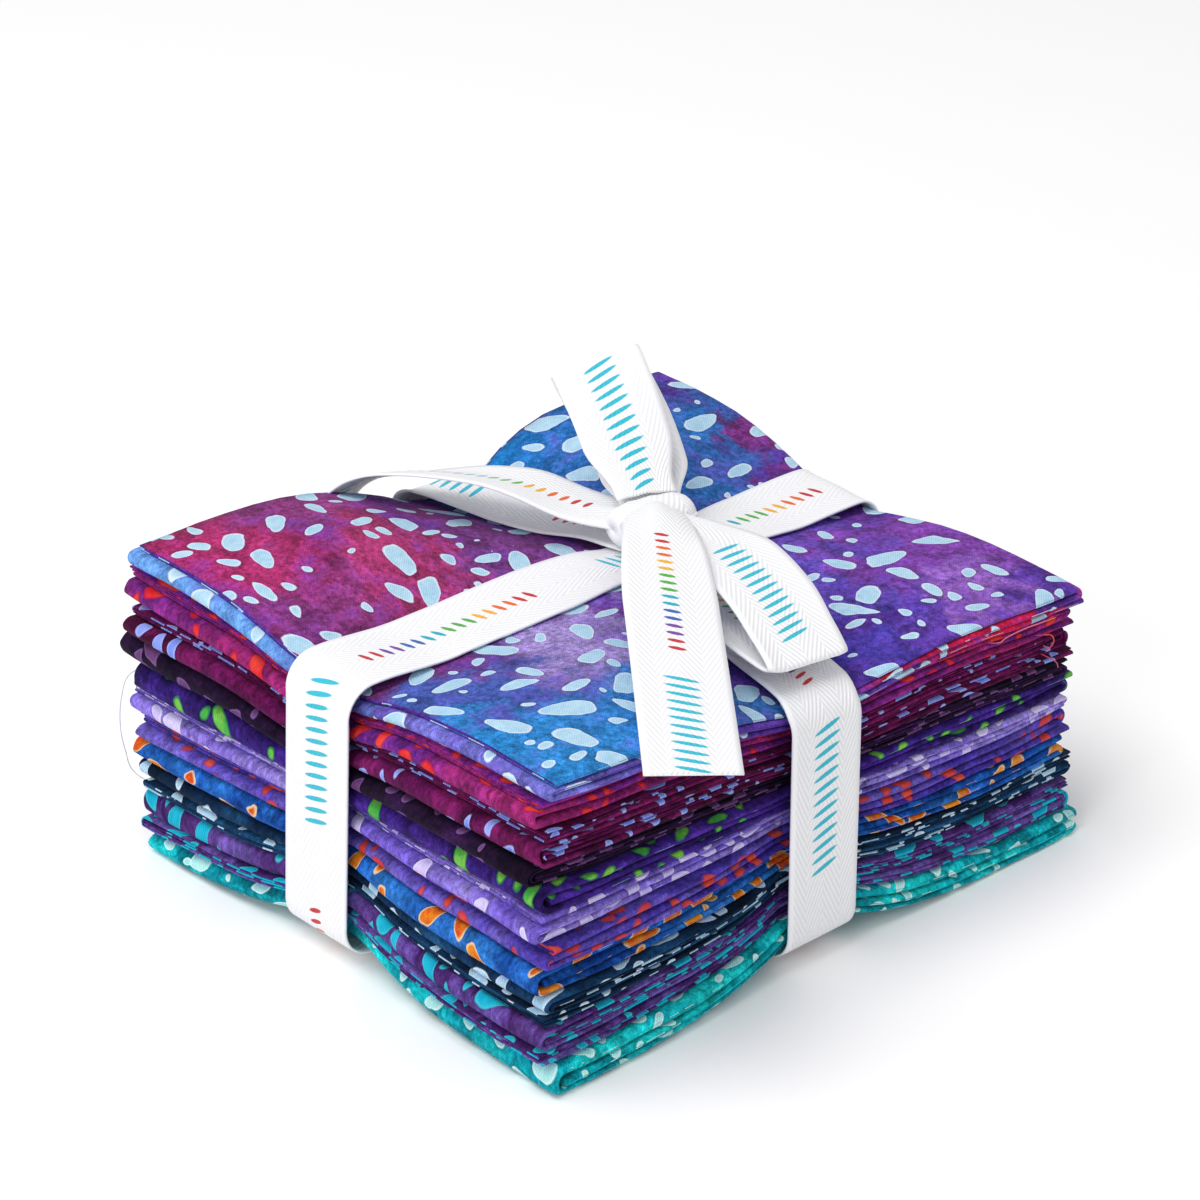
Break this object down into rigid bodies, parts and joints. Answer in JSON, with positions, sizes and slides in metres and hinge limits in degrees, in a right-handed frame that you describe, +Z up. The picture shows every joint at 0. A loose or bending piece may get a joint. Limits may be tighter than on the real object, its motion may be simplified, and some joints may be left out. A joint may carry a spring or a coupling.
{
  "type": "fat quarter bundle",
  "caption": "Stack of folded fat quarters of quilting cotton, tied crosswise with herringbone tape into a two-loop bow with loose tails.",
  "frame": {"origin": "centre of the bounding box's base, on the surface that the bundle stands on", "axes": "+X along the pile's front edge to its right end, +Y from the front edge to the back, +Z up"},
  "size_m": [0.1556, 0.167, 0.0973],
  "materials": {
    "cotton_01": "matt woven cotton, batik dyed with pale resist spots",
    "cotton_02": "matt woven cotton, batik dyed with pale resist spots",
    "cotton_03": "matt woven cotton, batik dyed with pale resist spots",
    "cotton_04": "matt woven cotton, batik dyed with pale resist spots",
    "cotton_05": "matt woven cotton, batik dyed with pale resist spots",
    "cotton_06": "matt woven cotton, batik dyed with pale resist spots",
    "cotton_07": "matt woven cotton, batik dyed with pale resist spots",
    "cotton_08": "matt woven cotton, batik dyed with pale resist spots",
    "cotton_09": "matt woven cotton, batik dyed with pale resist spots",
    "cotton_10": "matt woven cotton, batik dyed with pale resist spots",
    "cotton_11": "matt woven cotton, batik dyed with pale resist spots",
    "tape": "matt white cotton tape in herringbone twill"
  },
  "bodies": {
    "root": {"fat_quarter_01": "cotton_01", "fat_quarter_02": "cotton_02", "fat_quarter_03": "cotton_03", "fat_quarter_04": "cotton_04", "fat_quarter_05": "cotton_05", "fat_quarter_06": "cotton_06", "fat_quarter_07": "cotton_07", "fat_quarter_08": "cotton_08", "fat_quarter_09": "cotton_09", "fat_quarter_10": "cotton_10", "fat_quarter_11": "cotton_11", "strap_side": "tape", "strap_front": "tape", "knot": "tape", "loop_right": "tape", "loop_back": "tape", "tail_front": "tape", "tail_left": "tape"}
  },
  "joints": []
}
